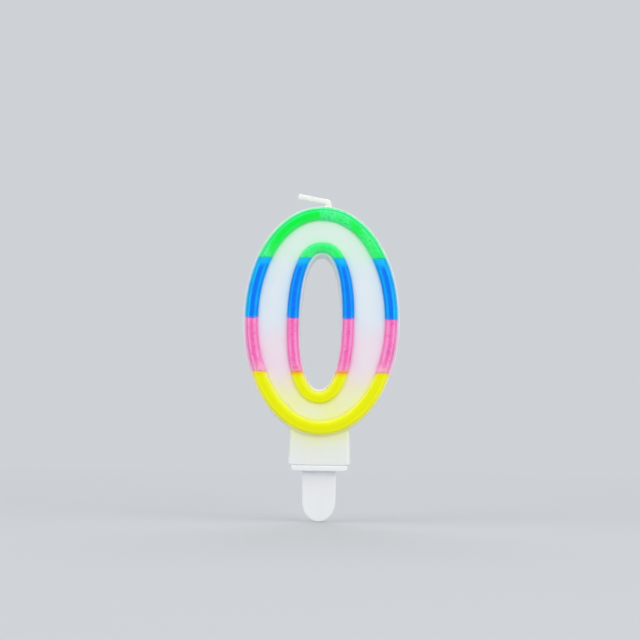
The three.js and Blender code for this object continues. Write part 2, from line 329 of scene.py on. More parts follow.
def fillet_join(a, b, radius):
    """What is inside either shape, with a fillet where they meet"""
    corner = np.hypot(np.maximum(radius - a, 0), np.maximum(radius - b, 0))
    return np.maximum(np.minimum(a, b), radius) - corner


def wall_wave(x, y, z):
    """How far the walls fall short of their drawn place"""
    return WALL_WAVE * (1 + ripple((x, y * WALL_WAVE_STRETCH, z), WALL_WAVE_SIZE, WALL_WAVE_SEED))


def front_drop(x, z):
    """How far behind the flat of the front its rounded edges lie here"""
    inland = np.minimum(-DIGIT.distance(x, z), HOLE.distance(x, z)) - wall_wave(x, FRONT_Y, z)
    short = np.clip(FRONT_EDGE_RADIUS - inland, 0, FRONT_EDGE_RADIUS)
    return FRONT_EDGE_RADIUS - np.sqrt(FRONT_EDGE_RADIUS**2 - short**2)


def back_drop(x, z, inland):
    """How far in front of the drawn back the wax has drawn in, this far inland from its edges"""
    dip = BACK_DIP * smoothstep(0, BACK_DIP_REACH, inland)
    wave = BACK_WAVE * (1 + ripple((x, z), BACK_WAVE_SIZE, BACK_WAVE_SEED))
    return dip + wave * smoothstep(0, BACK_WAVE_REACH, inland)


def wax_shape(x, y, z):
    """The white casting as a signed distance in mm, below 0 inside the wax"""
    depth = y - FRONT_Y
    wave = wall_wave(x, y, z)
    outer = DIGIT.distance(x, z, depth * WALL_TAPER) + wave
    hole = wave - HOLE.distance(x, z, -depth * HOLE_TAPER)
    half = np.interp(z, (FOOT_LOW_Z, DIGIT_BOTTOM_Z), (FOOT_BOTTOM_HALF, FOOT_TOP_HALF))
    side = np.abs(x) - half - (y - FOOT_FRONT_Y) * WALL_TAPER + wave
    foot_plan = round_meet(side, FOOT_LOW_Z - z, FOOT_CORNER_RADIUS)
    foot_plan = np.maximum(foot_plan, z - DIGIT_BOTTOM_Z - FOOT_SINK)
    inland = np.maximum(-np.minimum(np.maximum(outer, hole), foot_plan), 0)
    ring = round_meet(outer, FRONT_Y - y, FRONT_EDGE_RADIUS)
    ring = np.maximum(ring, round_meet(hole, FRONT_Y - y, FRONT_EDGE_RADIUS))
    heights = FOOT_LOW_Z, FOOT_LOW_Z + 2 * FOOT_EDGE_RADIUS
    edge_radius = np.interp(z, heights, (FOOT_LOW_EDGE_RADIUS, FOOT_EDGE_RADIUS))
    foot = round_meet(foot_plan, FOOT_FRONT_Y - y, edge_radius)
    solid = fillet_join(ring, foot, FOOT_FILLET)
    solid = round_meet(solid, y - BACK_Y + back_drop(x, z, inland), BACK_EDGE_RADIUS)
    return np.maximum(solid, -slot_shape(x, y, z))


def slot_shape(x, y, z):
    """The slot in the foot for the pick's tongue"""
    across = np.abs(x) - TONGUE_HALF - FIT_GAP
    through = np.abs(y) - TONGUE_HALF_THICKNESS - FIT_GAP
    return np.maximum(np.maximum(across, through), z - TONGUE_TOP_Z - FIT_GAP)


def pick_shape(x, y, z):
    """The plastic pick: collar, blade and tongue"""
    collar = round_meet(np.abs(x) - COLLAR_HALF, -z, COLLAR_CORNER_RADIUS)
    collar = round_meet(collar, z - COLLAR_HEIGHT, COLLAR_EDGE_RADIUS)
    collar = round_meet(collar, np.abs(y) - COLLAR_HALF_DEPTH, COLLAR_EDGE_RADIUS)
    round_z = BLADE_END_HEIGHT - BLADE_LENGTH
    half = np.interp(z, (round_z, 0), (BLADE_END_HALF, BLADE_TOP_HALF))
    end = Loop(BLADE_END_HALF, BLADE_END_HEIGHT, BLADE_END_HEIGHT, upper=2, lower=2, centre_z=round_z)
    blade = np.where(z > round_z, np.abs(x) - half, end.distance(x, z))
    blade = np.maximum(blade, z - COLLAR_HEIGHT / 2)
    blade = round_meet(blade, np.abs(y) - BLADE_HALF_THICKNESS, BLADE_EDGE_RADIUS)
    tongue = round_meet(np.abs(x) - TONGUE_HALF, z - TONGUE_TOP_Z, 2 * TONGUE_EDGE_RADIUS)
    tongue = np.maximum(tongue, COLLAR_HEIGHT / 2 - z)
    tongue = round_meet(tongue, np.abs(y) - TONGUE_HALF_THICKNESS, TONGUE_EDGE_RADIUS)
    return fillet_join(np.minimum(collar, tongue), blade, BLADE_ROOT_FILLET)


def crossed_edges(value, axis):
    """Which of the grid's edges along an axis cross the surface, and how far along they do"""
    last = value.shape[axis] - 1
    near = np.take(value, range(last), axis)
    far = np.take(value, range(1, last + 1), axis)
    crossed = (near < 0) != (far < 0)
    return crossed, np.where(crossed, near / np.where(crossed, near - far, 1), 0)


def surface_of(shape, low, high, cell):
    """Points and quads of the closed surface of a shape that is given as a signed distance"""
    before, after = GRID_MARGIN * cell, (GRID_MARGIN + 1) * cell
    axes = [np.arange(a - before, b + after, cell) for a, b in zip(low, high)]
    value = shape(*np.meshgrid(*axes, indexing="ij"))
    cells = [n - 1 for n in value.shape]
    total = np.zeros(cells + [3])
    count = np.zeros(cells, int)
    edges = []
    for axis in range(3):
        others = [a for a in range(3) if a != axis]
        crossed, part = crossed_edges(value, axis)
        for shift in itertools.product((0, 1), repeat=2):
            window = [slice(0, cells[axis])] * 3
            for a, s in zip(others, shift):
                window[a] = slice(s, s + cells[a])
            hit = crossed[tuple(window)]
            count += hit
            total[..., axis] += part[tuple(window)]
            for a, s in zip(others, shift):
                total[..., a] += s * hit
        edges.append((others, np.argwhere(crossed)))
    point_of_cell = np.full(cells, -1)
    point_of_cell[count > 0] = np.arange((count > 0).sum())
    quads = []
    for others, places in edges:
        around = []
        for step in ((0, 0), (1, 0), (1, 1), (0, 1)):
            at = places.copy()
            at[:, others] -= step
            around.append(point_of_cell[tuple(at.T)])
        quads.append(np.stack(around, 1))
    quads = np.concatenate(quads)
    start = np.array([a[0] for a in axes])
    points = start + cell * (np.argwhere(count > 0) + total[count > 0] / count[count > 0][:, None])
    for _ in range(2):
        points = pull_onto(shape, relaxed(points, quads))
    return points, quads


def relaxed(points, quads):
    """Each point moved half way to the middle of its neighbours"""
    total = np.zeros_like(points)
    count = np.zeros(len(points))
    for side in range(4):
        for a, b in ((side, (side + 1) % 4), ((side + 1) % 4, side)):
            np.add.at(total, quads[:, a], points[quads[:, b]])
            np.add.at(count, quads[:, a], 1)
    return (points + total / count[:, None]) / 2


def pull_onto(shape, points, steps=3, probe=0.01, least_steepness=0.25):
    """Points moved along the shape's slope until they lie on its surface"""
    for _ in range(steps):
        slope = [
            (shape(*(points + probe * axis).T) - shape(*(points - probe * axis).T)) / 2 / probe
            for axis in np.eye(3)
        ]
        slope = np.stack(slope, 1)
        steepness = np.maximum((slope**2).sum(1), least_steepness)
        points = points - slope * (shape(*points.T) / steepness)[:, None]
    return points


def bead_profile():
    """The bead's section as rows of (side, reach beyond its edge, height), from root to root"""
    skirt = [(1, BEAD_FILLET + SKIRT_REACH, height) for height in (-BEAD_ROOT, -SKIRT_DEPTH)]
    skirt.append((1, BEAD_FILLET + LIP_REACH, -LIP_DEPTH))
    for turn in np.linspace(0, math.pi / 2, FILLET_STEPS, endpoint=False):
        skirt.append((1, BEAD_FILLET * (1 - math.sin(turn)), BEAD_FILLET * (1 - math.cos(turn)) / 2))
    flank = [(-side, -beyond, height) for side, beyond, height in skirt]
    rise = BEAD_HEIGHT - BEAD_FILLET / 2
    crown = []
    for turn in np.linspace(0, math.pi, CROWN_STEPS + 1):
        side = -math.copysign(abs(math.cos(turn)) ** (2 / CROWN_SQUARENESS), math.cos(turn))
        height = BEAD_FILLET / 2 + rise * abs(math.sin(turn)) ** (2 / CROWN_FULLNESS)
        crown.append((side, 0, height))
    return np.array(flank + crown + skirt[::-1])


BEAD_SIDE, BEAD_REACH, BEAD_RISE = bead_profile().T[:, :, None]

# How frosted the green wax is at each x along a bead, between which it changes evenly
LEFT_FROST = ((-17, 0.9), (-15.6, 0.8), (-14.6, 0.25), (-12.5, 0.05), (-1.2, 0.05))
RIGHT_FROST = ((8.4, 0.15), (10.2, 0.15), (11.4, 0.65), (15.6, 0.6), (16.6, 0.1))
OUTER_FROST = (*LEFT_FROST, (-0.4, 1.0), (7.4, 0.9), *RIGHT_FROST)
INNER_FROST = ((-6, 0.75), (-1.0, 0.65), (0.4, 0.5), (2.5, 0.55), (4.0, 0.3), (6, 0.15))
FROST_WANDER = 0.4
FROST_WANDER_SIZE = 2.0
FROST_CLOUDING = 0.3
FROST_CLOUD_SIZE = 3.0


@dataclass
class Bead:
    """A bead: its form, and the looks in which the two beads differ

    outward_fall: how far its pale shoulder, with its painted highlight, falls off again at its
    outward edge
    inward_foot: how much white wax shows at the foot of its inward side
    orange, peach: how strongly these colours show at and above the top of the yellow
    """

    ring: str
    line: Loop
    widths: tuple
    seed: int
    frost: tuple
    crease_shaded: bool
    outward_fall: float
    inward_foot: float
    orange: float
    peach: float

    def half_width(self, up):
        """Half its width, with part of its fillet, where the sine of the loop's angle is up"""
        sides, top, bottom = self.widths
        end = np.where(up > 0, top, bottom)
        return (sides + (end - sides) * up**2) / 2 - FILLET_SHARE * BEAD_FILLET

    def surface(self, angle, probe=1e-3):
        """Its x and z at angle[row, step], for each row of its section"""
        x, z = self.line.points(angle)
        x1, z1 = self.line.points(angle + probe)
        x0, z0 = self.line.points(angle - probe)
        length = np.hypot(x1 - x0, z1 - z0)
        reach = BEAD_SIDE * self.half_width(np.sin(angle)) + BEAD_REACH
        return x + (z1 - z0) / length * reach, z - (x1 - x0) / length * reach


OUTER_BEAD = Bead(
    ring="outer",
    line=OUTER_LINE,
    widths=OUTER_WIDTHS,
    seed=40,
    frost=OUTER_FROST,
    crease_shaded=True,
    outward_fall=0.2,
    inward_foot=0.85,
    orange=0.35,
    peach=0.8,
)
INNER_BEAD = Bead(
    ring="inner",
    line=INNER_LINE,
    widths=INNER_WIDTHS,
    seed=50,
    frost=INNER_FROST,
    crease_shaded=False,
    outward_fall=0.6,
    inward_foot=0.5,
    orange=1.0,
    peach=0.4,
)
BEADS = (OUTER_BEAD, INNER_BEAD)


def linear(red, green, blue):
    """A display colour from 0 to 255 as linear light"""
    shown = np.array([red, green, blue]) / 255
    return np.where(shown <= 0.04045, shown / 12.92, ((shown + 0.055) / 1.055) ** 2.4)


@dataclass
class Dye:
    """A coloured wax, from its colour in full depth and where it is thin, which also serves as its
    painted highlight, to the look of its skin

    outer_shoulders, inner_shoulders: how pale it is on the inward and outward side of a bead, partly
    for thin wax and partly as painted highlight
    shoulder_start: how far across a bead, from 0 to 1, that begins
    edge_shade, bleed: how much painted shade and how much white wax shows at its edges
    foot_height: the height in mm below which white wax shows
    edge_stain_and_glow, wide_stain_and_glow: how strongly it shows in the white wax close to a bead
    and further off, partly as stain and partly as painted glow
    """

    name: str
    deep: np.ndarray
    thin: np.ndarray
    outer_shoulders: tuple
    inner_shoulders: tuple
    shoulder_start: float
    edge_shade: float
    bleed: float
    foot_height: float
    edge_stain_and_glow: float
    wide_stain_and_glow: float
    frost: np.ndarray
    fleck: np.ndarray
    crease_shade: float
    roughness: float
    mottle: float
    gloss: float
    softness: float


GREEN_DYE = Dye(
    name="green",
    deep=linear(0, 243, 62),
    thin=linear(60, 246, 150),
    outer_shoulders=(0.3, 0.9),
    inner_shoulders=(1.0, 0.7),
    shoulder_start=0.3,
    edge_shade=0.12,
    bleed=0.15,
    foot_height=0.16,
    edge_stain_and_glow=0.42,
    wide_stain_and_glow=0.19,
    frost=linear(96, 248, 164),
    fleck=linear(14, 214, 104),
    crease_shade=0.8,
    roughness=0.3,
    mottle=0.0,
    gloss=0.08,
    softness=0.2,
)
BLUE_DYE = Dye(
    name="blue",
    deep=linear(0, 124, 246),
    thin=linear(20, 200, 255),
    outer_shoulders=(0.6, 1.0),
    inner_shoulders=(0.5, 0.45),
    shoulder_start=0.26,
    edge_shade=0.4,
    bleed=0.0,
    foot_height=0.07,
    edge_stain_and_glow=0.46,
    wide_stain_and_glow=0.15,
    frost=linear(30, 178, 255),
    fleck=linear(6, 118, 226),
    crease_shade=0.6,
    roughness=0.24,
    mottle=0.1,
    gloss=0.08,
    softness=0.25,
)
PINK_DYE = Dye(
    name="pink",
    deep=linear(244, 96, 176),
    thin=linear(255, 158, 214),
    outer_shoulders=(0.95, 0.95),
    inner_shoulders=(0.85, 0.75),
    shoulder_start=0.14,
    edge_shade=0.3,
    bleed=0.0,
    foot_height=0.16,
    edge_stain_and_glow=0.42,
    wide_stain_and_glow=0.3,
    frost=linear(255, 150, 210),
    fleck=linear(222, 80, 158),
    crease_shade=0.6,
    roughness=0.34,
    mottle=0.3,
    gloss=0.25,
    softness=0.25,
)
YELLOW_DYE = Dye(
    name="yellow",
    deep=linear(236, 240, 0),
    thin=linear(248, 249, 28),
    # Painted light: the downward-facing outward sides are painted pale and the upward-facing inward
    # sides kept deep, to even out the light from above
    outer_shoulders=(0.0, 1.0),
    inner_shoulders=(0.15, 1.0),
    shoulder_start=0.35,
    edge_shade=0.0,
    bleed=0.36,
    foot_height=0.12,
    edge_stain_and_glow=0.5,
    wide_stain_and_glow=0.47,
    frost=linear(240, 245, 50),
    fleck=linear(228, 230, 0),
    crease_shade=0.0,
    roughness=0.26,
    mottle=0.1,
    gloss=0.1,
    softness=0.25,
)
DYES = (GREEN_DYE, BLUE_DYE, PINK_DYE, YELLOW_DYE)


@dataclass
class Seam:
    """The line between two colours: its height, how far its ends are drawn up, and its own colour"""

    level: float
    bow: float
    width: float
    strength: float
    colour: np.ndarray
    blur: float

    def angles(self, bead, right, halvings=40):
        """The angle at which each row of the bead's section passes this seam"""
        target = self.level + self.bow * np.abs(BEAD_SIDE) ** 3
        near = np.full(BEAD_SIDE.shape, -0.5 * math.pi if right else 0.5 * math.pi)
        far = near + math.pi
        for _ in range(halvings):
            middle = (near + far) / 2
            past = (bead.surface(middle)[1] > target) == right
            near, far = np.where(past, near, middle), np.where(past, middle, far)
        return near

    def above(self, z, side):
        """How far this height and place across the bead is above the seam"""
        return z - self.level - self.bow * np.abs(side) ** 3


GREEN_SEAM = Seam(
    GREEN_LOW_Z, bow=0.1, width=0.4, strength=0.6, colour=linear(10, 208, 190), blur=0.0
)
BLUE_SEAM = Seam(
    BLUE_LOW_Z, bow=0.35, width=0.22, strength=0.6, colour=linear(176, 110, 226), blur=0.0
)
PINK_SEAM = Seam(
    PINK_LOW_Z, bow=-0.2, width=0.95, strength=1.0, colour=linear(252, 132, 24), blur=0.35
)
SEAMS = (GREEN_SEAM, BLUE_SEAM, PINK_SEAM)


def by_band(z, side, blur, values):
    """The value of the band at height z, top band first, run into the next one over blur mm"""
    total = values[0]
    for seam, value in zip(SEAMS, values[1:]):
        reach = blur + seam.blur
        total = mixed(total, value, smoothstep(reach, -reach, seam.above(z, side)))
    return total


def amount_at(z, side, blur, amounts):
    """The amount of the band at height z, from one for each dye"""
    return by_band(z, side, blur, [np.array([amount]) for amount in amounts])[..., 0]


def dye_at(z, side, blur, pale):
    """The dye of the band at height z, from full depth to as pale as in thin wax"""
    return by_band(z, side, blur, [mixed(dye.deep, dye.thin, pale) for dye in DYES])


# The white wax, painted lighter close to a bead against the shade there, and how far and how deep a
# dye shows in it, partly as stain and partly as painted glow
WHITE_WAX = linear(236, 239, 240)
PAINTED_LIGHT_WAX = linear(255, 255, 255)
PAINTED_LIGHT_REACH = 0.8
EDGE_STAIN_REACH = 0.7
EDGE_STAIN_BLUR = 1.2
WIDE_STAIN_REACH = 3.0
WIDE_STAIN_BLUR = 5.0
STAIN_DEPTH = 0.45
STAIN_SINK = 2.8
STAIN_PALENESS = 0.8
MOST_STAIN = 0.9
STAIN_CLOUDING = 0.2
STAIN_CLOUD_SIZE = 5.0
STAIN_SEED = 11


def stained_and_glowing_wax(z, distances, cloud):
    """The white wax's colour at these distances from the beads: tinted by their dyes, partly as stain
    and partly as a painted glow of light passed through them, and painted lighter close to them
    against the shade there
    """
    level = 0 * z
    pale = STAIN_PALENESS + level
    sunk = z + STAIN_SINK
    wide = amount_at(sunk, level, WIDE_STAIN_BLUR, [dye.wide_stain_and_glow for dye in DYES])
    edge = amount_at(z, level, EDGE_STAIN_BLUR, [dye.edge_stain_and_glow for dye in DYES])
    # Painted light: the wax is made whiter close to each bead to offset the shade beside it
    clear = sum(np.exp(-away / PAINTED_LIGHT_REACH) for away in distances)
    near = sum(edge * np.exp(-away / EDGE_STAIN_REACH) for away in distances)
    far = sum(wide * cloud * np.exp(-away / WIDE_STAIN_REACH) for away in distances)
    colours = mixed(WHITE_WAX, PAINTED_LIGHT_WAX, np.clip(clear, 0, 1))
    wide_colour = dye_at(sunk, level, WIDE_STAIN_BLUR, pale)
    colours = mixed(colours, wide_colour, np.clip(far, 0, MOST_STAIN))
    edge_colour = dye_at(z, level, EDGE_STAIN_BLUR, pale)
    return mixed(colours, edge_colour, np.clip(near, 0, MOST_STAIN))


# How the dyes lie in the beads. A seam wanders, and the bands run together over a short blur
BAND_BLUR = 0.25
SEAM_WANDER = 0.2
SEAM_WANDER_SIZE = 2.5
SEAM_CLOUDING = 0.2
SEAM_CLOUD_SIZE = 1.5

# Across a bead, a shoulder grows pale beyond its start, partly for thin wax and partly as painted
# highlight, and falls off again towards the edge, which is darkened by painted shade
SHOULDER_RUN = 0.28
SHOULDER_CLOUDING = 0.25
SHOULDER_CLOUD_SIZE = 4.0
EDGE_START = 0.6
EDGE_END = 0.9
INWARD_FALL = 0.6
EDGE_DARKNESS = 0.7

# The blue is pale just below the green, and the pink is peach just above the yellow
UNDER_GREEN = 0.85
UNDER_GREEN_END = -3.4
UNDER_GREEN_START = -0.9
PEACH = linear(252, 184, 210)
PEACH_START = 0.6
PEACH_END = 3.4

# The foot of a bead, where the white wax shows through, in the colour of the wax beside the bead with
# its painted light
BLEED_START = 0.5
OUTWARD_BLEED = 0.3
FOOT_SOLID_SHARE = 0.25
OUTWARD_FOOT = 0.85


def pale_shoulders_and_highlights(x, z, side, bead, seed):
    """How pale each place of a bead is, from 0 to 1: partly thin wax, partly painted highlight set
    for each side by how the light falls on it
    """
    shoulders = [getattr(dye, f"{bead.ring}_shoulders") for dye in DYES]
    inward = amount_at(z, side, BAND_BLUR, [pair[0] for pair in shoulders])
    outward = amount_at(z, side, BAND_BLUR, [pair[1] for pair in shoulders])
    start = amount_at(z, side, BAND_BLUR, [dye.shoulder_start for dye in DYES])
    across = np.abs(side)
    shoulder = np.where(side > 0, outward, inward) * smoothstep(start, start + SHOULDER_RUN, across)
    fall = np.where(side > 0, bead.outward_fall, INWARD_FALL)
    shoulder = shoulder * (1 - fall * smoothstep(EDGE_START, EDGE_END, across))
    shoulder = shoulder * (1 + SHOULDER_CLOUDING * ripple((x, z), SHOULDER_CLOUD_SIZE, seed + 2))
    above = GREEN_SEAM.above(z, side)
    under_green = UNDER_GREEN * smoothstep(UNDER_GREEN_END, UNDER_GREEN_START, above)
    return np.clip(np.maximum(shoulder, np.where(above < 0, under_green, 0)), 0, 1)


def foot_share(z, side, height, bead):
    """How much of the white wax shows through a bead at its foot and at its edges"""
    foot_height = amount_at(z, side, BAND_BLUR, [dye.foot_height for dye in DYES])
    foot = smoothstep(foot_height, FOOT_SOLID_SHARE * foot_height, height)
    foot = np.where(side > 0, OUTWARD_FOOT, bead.inward_foot) * foot
    bleed = amount_at(z, side, BAND_BLUR, [dye.bleed for dye in DYES])
    bleed = bleed * smoothstep(BLEED_START, 1.0, np.abs(side))
    return np.maximum(np.where(side > 0, OUTWARD_BLEED * bleed, bleed), foot)


def bead_colours(x, z, side, height, bead, seed):
    """The dye at each point of a bead: run together at the seams, pale at its shoulders for thin wax
    and painted highlight, with painted shade at its edges, and thin at its foot
    """
    z = z - SEAM_WANDER * ripple((x, z), SEAM_WANDER_SIZE, seed)
    colour = dye_at(z, side, BAND_BLUR, pale_shoulders_and_highlights(x, z, side, bead, seed))
    # Painted shade: the steep edges of a bead are darkened
    shade = amount_at(z, side, BAND_BLUR, [dye.edge_shade for dye in DYES])
    shade = shade * smoothstep(EDGE_START, EDGE_END, np.abs(side))
    colour = mixed(colour, EDGE_DARKNESS * colour, shade)
    cloud = 1 - SEAM_CLOUDING + SEAM_CLOUDING * ripple((x, z), SEAM_CLOUD_SIZE, seed + 1)
    for seam in SEAMS:
        strength = seam.strength * cloud * (bead.orange if seam is PINK_SEAM else 1)
        spread = np.exp(-((seam.above(z, side) / seam.width) ** 2))
        colour = mixed(colour, seam.colour, strength * spread)
    above = PINK_SEAM.above(z, side)
    faded = bead.peach * smoothstep(PEACH_END, PEACH_START, above) * (above > 0)
    colour = mixed(colour, PEACH, faded)
    return mixed(colour, stained_and_glowing_wax(z, [0 * z], 1), foot_share(z, side, height, bead))


def bead_frost(x, z, bead, seed):
    """How frosted the green wax is at each point of a bead"""
    wander = FROST_WANDER * ripple((x, z), FROST_WANDER_SIZE, seed)
    frost = np.interp(x + wander, *zip(*bead.frost))
    cloud = 1 + FROST_CLOUDING * ripple((x, z), FROST_CLOUD_SIZE, seed + 3)
    return np.clip(frost * cloud, 0, 1)


# The flecks in the pink, which keep to the middle of a bead, and in the frosted green
FLECK_MIDDLE = 0.35
FLECK_EDGE = 0.8
PINK_FLECKS = 0.5
PINK_FLECK_CLOUDING = 0.2
FLECK_CLOUD_SIZE = 3.0
FROST_FLECKS = 0.45


def pink_flecks(x, z, side, seed):
    """How strongly the flecks in the pink wax show at each point of a bead"""
    cloud = PINK_FLECKS + PINK_FLECK_CLOUDING * ripple((x, z), FLECK_CLOUD_SIZE, seed + 4)
    return smoothstep(FLECK_EDGE, FLECK_MIDDLE, np.abs(side)) * cloud


def make_piece(name, points, faces, material, nodes, body=None):
    """A smooth mesh of one material in the place of frame nodes, riding its body if it has one"""
    mesh = bpy.data.meshes.new(name)
    mesh.from_pydata((np.asarray(points) * MM).tolist(), [], faces)
    outward = bmesh.new()
    outward.from_mesh(mesh)
    bmesh.ops.recalc_face_normals(outward, faces=outward.faces)
    outward.to_mesh(mesh)
    outward.free()
    mesh.polygons.foreach_set("use_smooth", [len(face) <= 4 for face in faces])
    mesh.materials.append(material)
    piece = bpy.data.objects.new(name, mesh)
    bpy.context.scene.collection.objects.link(piece)
    if body:
        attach(piece, body)
    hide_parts(*nodes)
    return piece


def keep_colours(piece, colours):
    """Stores a linear colour for each vertex, for the material to read"""
    attribute = piece.data.attributes.new("Dye", "FLOAT_COLOR", "POINT")
    rgba = np.concatenate([colours, np.ones((len(colours), 1))], 1)
    attribute.data.foreach_set("color", rgba.astype(np.float32).ravel())


def keep_amounts(piece, name, amounts):
    """Stores an amount for each vertex, for the material to read"""
    attribute = piece.data.attributes.new(name, "FLOAT", "POINT")
    attribute.data.foreach_set("value", np.asarray(amounts, np.float32))


class Finish:
    """A material's node tree, made node by node"""

    def __init__(self, name, **shader):
        self.material = bpy.data.materials.new(name)
        self.material.use_nodes = True
        self.nodes = self.material.node_tree.nodes
        self.shader = self.nodes["Principled BSDF"]
        for socket, value in shader.items():
            self.shader.inputs[socket.replace("_", " ")].default_value = value
        self.place = self.add("ShaderNodeTexCoord").outputs["Object"]

    def add(self, kind, inputs=None, **settings):
        """A node with these settings; an input is an amount, a colour or another node's output"""
        node = self.nodes.new(kind)
        for setting, value in settings.items():
            setattr(node, setting, value)
        for socket, value in (inputs or {}).items():
            self.join(value, node.inputs[socket])
        return node

    def join(self, value, socket):
        """Links another node's output to a socket, or sets the socket to a plain value"""
        if isinstance(value, bpy.types.NodeSocket):
            self.material.node_tree.links.new(value, socket)
        else:
            socket.default_value = value

    def noise(self, size, detail=2.0, roughness=0.5, stretch=(1, 1, 1)):
        """Noise from 0 to 1 with features about size mm across"""
        place = self.add(
            "ShaderNodeVectorMath",
            {0: self.place, 1: [s / (size * MM) for s in stretch]},
            operation="MULTIPLY",
        )
        inputs = {"Vector": place.outputs[0], "Scale": 1.0, "Detail": detail}
        inputs["Roughness"] = roughness
        return self.add("ShaderNodeTexNoise", inputs).outputs["Fac"]

    def ranged(self, value, source, target):
        """The value carried from its source range to a target range, and held within it"""
        inputs = dict(enumerate((value, *source, *target)))
        return self.add("ShaderNodeMapRange", inputs, clamp=True).outputs[0]

    def times(self, a, b):
        """Two amounts multiplied"""
        return self.add("ShaderNodeMath", {0: a, 1: b}, operation="MULTIPLY").outputs[0]

    def plus(self, a, b):
        """Two amounts added"""
        return self.add("ShaderNodeMath", {0: a, 1: b}, operation="ADD").outputs[0]

    def size_of(self, value):
        """An amount without its sign"""
        return self.add("ShaderNodeMath", {0: value}, operation="ABSOLUTE").outputs[0]

    def attribute(self, name, output="Fac"):
        """What the mesh stores under this name"""
        return self.add("ShaderNodeAttribute", attribute_name=name).outputs[output]

    def mix(self, share, a, b):
        """Two colours mixed"""
        node = self.add("ShaderNodeMix", data_type="RGBA")
        for index, value in ((0, share), (6, a), (7, b)):
            self.join(value, node.inputs[index])
        return node.outputs[2]

    def bump(self, height, depth_mm, below=None):
        """A surface raised by up to depth_mm where height is 1"""
        inputs = {"Height": height, "Distance": depth_mm * MM, "Strength": 1.0}
        if below:
            inputs["Normal"] = below
        return self.add("ShaderNodeBump", inputs).outputs[0]

    def finish(self, **sockets):
        """The material, with these on its shader"""
        for socket, value in sockets.items():
            self.join(value, self.shader.inputs[socket.replace("_", " ")])
        return self.material


def colour4(colour):
    """A colour with full opacity"""
    return (*colour, 1.0)


def white_wax_finish():
    """Translucent white wax, a little clouded, stained by the dye beside it"""
    wax = Finish(
        "white_wax",
        Subsurface_Weight=1.0,
        Subsurface_Radius=(1.0, 0.95, 0.9),
        Subsurface_Scale=0.4 * MM,
        Specular_IOR_Level=0.4,
    )
    cloud = wax.noise(3.0, detail=3.0)
    clouding = wax.ranged(cloud, (0.35, 0.75), (0.0, 0.09))
    clouded = wax.mix(clouding, wax.attribute("Dye", "Color"), colour4(linear(222, 228, 232)))
    rough = wax.ranged(wax.noise(1.2, detail=3.0), (0.3, 0.7), (0.34, 0.46))
    normal = wax.bump(wax.noise(0.35), 0.006, below=wax.bump(cloud, 0.02))
    return wax.finish(Base_Color=clouded, Roughness=rough, Normal=normal)


def dyed_wax_finish(dye):
    """Dyed wax: a smooth skin, frosted where it cooled unevenly, flecked with its dye, and with a
    line of painted shade along its crease
    """
    wax = Finish(
        f"{dye.name}_wax",
        Subsurface_Weight=0.6,
        Subsurface_Radius=(1.0, 1.0, 1.0),
        Subsurface_Scale=dye.softness * MM,
        Specular_IOR_Level=dye.gloss,
    )
    frosting = wax.attribute("Frost")
    patches = wax.ranged(wax.noise(0.9), (0.34, 0.64), (0.45, 1.0))
    mottling = wax.ranged(wax.noise(1.6), (0.4, 0.8), (0.0, dye.mottle))
    share = wax.plus(wax.times(frosting, patches), mottling)
    frosted = wax.mix(share, wax.attribute("Dye", "Color"), colour4(dye.frost))
    specks = wax.ranged(wax.noise(0.75, detail=1.0), (0.54, 0.68), (0.0, 1.0))
    flecked = wax.mix(wax.times(specks, wax.attribute("Flecks")), frosted, colour4(dye.fleck))
    # Painted shade: a dark line along the crease of the outer bead
    from_shaded_crease = wax.size_of(wax.attribute("CreaseShade"))
    line = wax.ranged(from_shaded_crease, (0.0, SHADED_CREASE_HALF_WIDTH), (dye.crease_shade, 0.0))
    crease_shaded = wax.mix(line, flecked, colour4(0.8 * dye.fleck))
    fine = wax.noise(0.28)
    rough = wax.ranged(share, (0.0, 1.0), (dye.roughness, 0.5))
    rough = wax.plus(rough, wax.ranged(fine, (0.3, 0.7), (0.0, 0.06)))
    grain = wax.times(wax.plus(patches, fine), wax.plus(frosting, 0.05))
    return wax.finish(Base_Color=crease_shaded, Roughness=rough, Normal=wax.bump(grain, 0.01))


def wick_finish():
    """Braided cotton under a thin coat of wax, painted darker in the braid's hollows and along its
    groove as painted shade
    """
    cotton = Finish(
        "wick_cotton",
        Subsurface_Weight=0.5,
        Subsurface_Radius=(1.0, 0.95, 0.85),
        Subsurface_Scale=0.4 * MM,
        Specular_IOR_Level=0.35,
    )
    fibre = cotton.noise(0.16, roughness=0.6)
    patch = cotton.noise(1.3)
    relief = cotton.attribute("BraidShade")
    shaded_thread = cotton.mix(relief, colour4(linear(226, 224, 217)), colour4(linear(244, 244, 241)))
    coat = cotton.ranged(patch, (0.4, 0.6), (0.3, 0.7))
    waxed = cotton.mix(coat, shaded_thread, colour4(linear(241, 242, 240)))
    rough = cotton.ranged(patch, (0.4, 0.6), (0.62, 0.42))
    return cotton.finish(Base_Color=waxed, Roughness=rough, Normal=cotton.bump(fibre, 0.02))


def plastic_finish():
    """White moulded plastic with a satin skin"""
    plastic = Finish(
        "white_plastic",
        Subsurface_Weight=0.3,
        Subsurface_Radius=(1.0, 1.0, 1.0),
        Subsurface_Scale=0.6 * MM,
    )
    flow = plastic.noise(6.0, stretch=(1, 1, 0.35))
    skin = plastic.noise(0.25)
    tint = plastic.mix(flow, colour4(linear(235, 236, 238)), colour4(linear(242, 243, 244)))
    rough = plastic.ranged(flow, (0.3, 0.7), (0.24, 0.3))
    rough = plastic.plus(rough, plastic.ranged(skin, (0.3, 0.7), (0.0, 0.06)))
    return plastic.finish(Base_Color=tint, Roughness=rough, Normal=plastic.bump(skin, 0.004))


